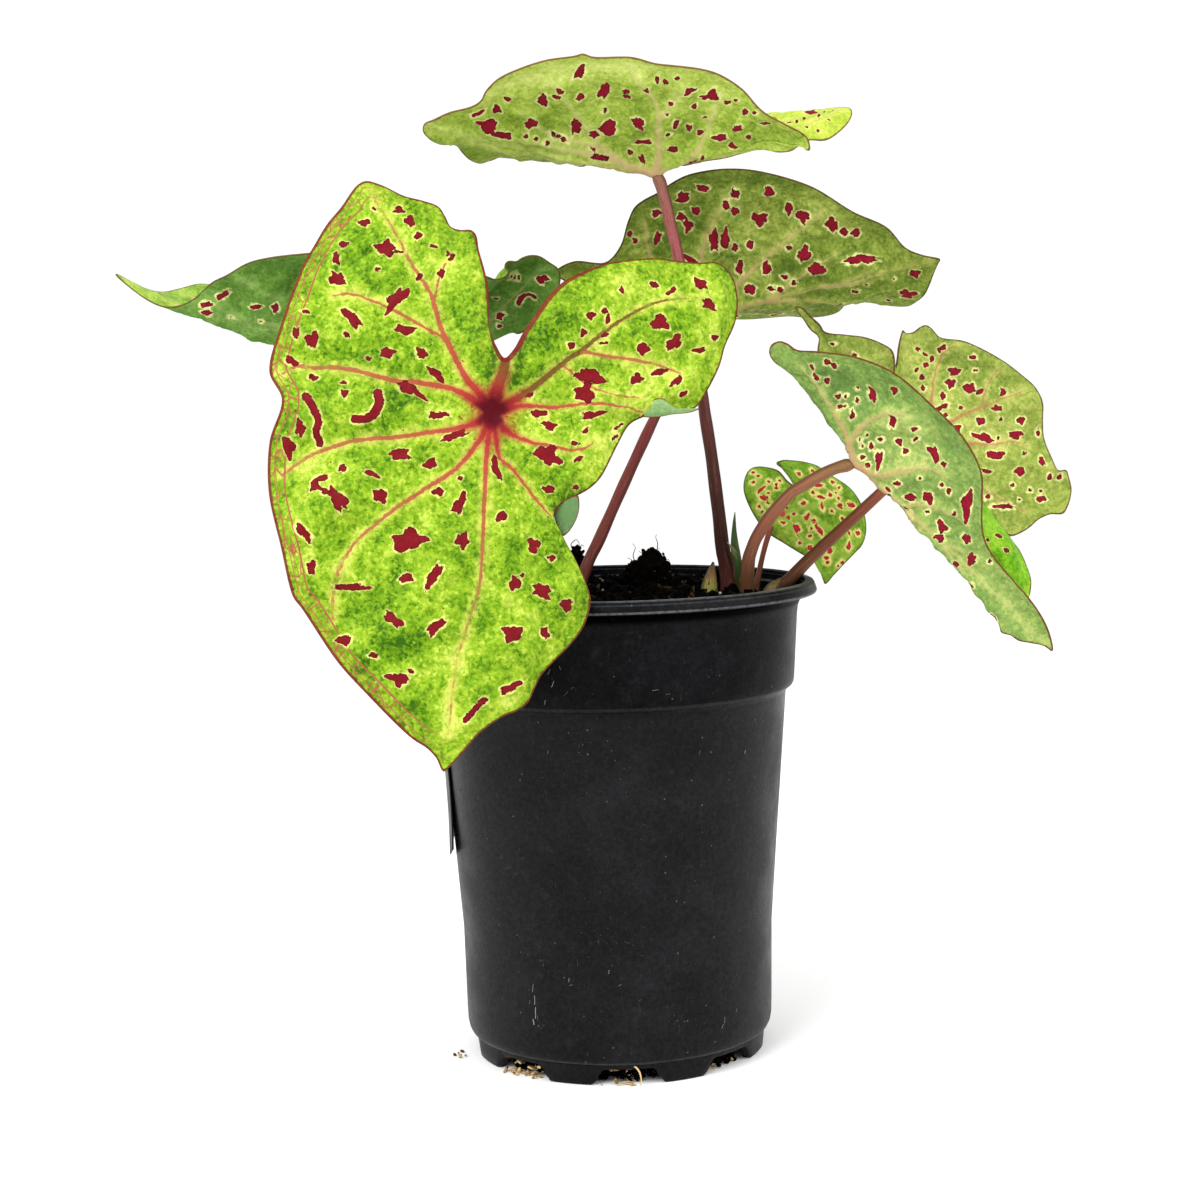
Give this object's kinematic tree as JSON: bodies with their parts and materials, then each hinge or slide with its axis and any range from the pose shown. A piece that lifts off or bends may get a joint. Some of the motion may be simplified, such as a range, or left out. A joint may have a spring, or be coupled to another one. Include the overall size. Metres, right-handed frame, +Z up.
{
  "type": "potted caladium",
  "caption": "Caladium with heart-shaped red-spotted leaves on thin stalks, growing in a tall round black nursery pot with drain gaps between its feet.",
  "frame": {"origin": "on the floor under the middle of the bounding box; the pot's axis stands 0.7 mm to the left of it and 2.8 mm in front of it", "axes": "+Z up; -Y is the front, which the big heart-shaped leaf faces; +X is to the right seen from the front"},
  "size_m": [0.2846, 0.1704, 0.2838],
  "materials": {
    "pot": "black moulded plastic, satin, with dust and faint scratches",
    "label": "thin dark plastic, blank",
    "soil": "damp dark potting mix with bark fibres and white mineral grains",
    "tuber": "rough brown tuber skin",
    "leaf_front": "living leaf, lime and mid green with crimson spots and pink veins, satin",
    "leaf_top": "living leaf, pale green underside with pink spots and cream veins, satin",
    "leaf_back_right": "living leaf, green underside with crimson spots and pink-beige veins, satin",
    "leaf_left": "living leaf, mid green underside with crimson spots, satin",
    "leaf_right_front": "living leaf, bluish green underside with crimson spots and a red margin, satin",
    "leaf_right_back": "living leaf, olive green underside with crimson spots and cream halos, satin",
    "leaf_small": "young leaf, fresh green with many small pink-red spots, satin",
    "stalk_tan": "smooth tan-brown leaf stalk with a pink flush, satin",
    "stalk_red": "smooth maroon leaf stalk, mauve towards the blade, satin",
    "shoot_pale": "pale yellow-green papery sheath",
    "shoot_green": "rolled young leaf, fresh green"
  },
  "bodies": {
    "root": {"pot": "pot", "label_flap": "label", "soil": "soil", "tuber_left": "tuber", "tuber_right": "tuber", "leaf_front": "leaf_front", "leaf_top": "leaf_top", "leaf_back_right": "leaf_back_right", "leaf_left": "leaf_left", "leaf_right_front": "leaf_right_front", "leaf_right_back": "leaf_right_back", "leaf_small": "leaf_small", "stem_front": "stalk_tan", "stem_left": "stalk_tan", "stem_right_front": "stalk_tan", "stem_top": "stalk_red", "stem_back_right": "stalk_red", "stem_right_back": "stalk_red", "stem_small": "stalk_red", "shoot_cone": "shoot_pale", "shoot_sheath": "shoot_pale", "shoot_spear": "shoot_green", "shoot_bract": "shoot_green"}
  },
  "joints": []
}
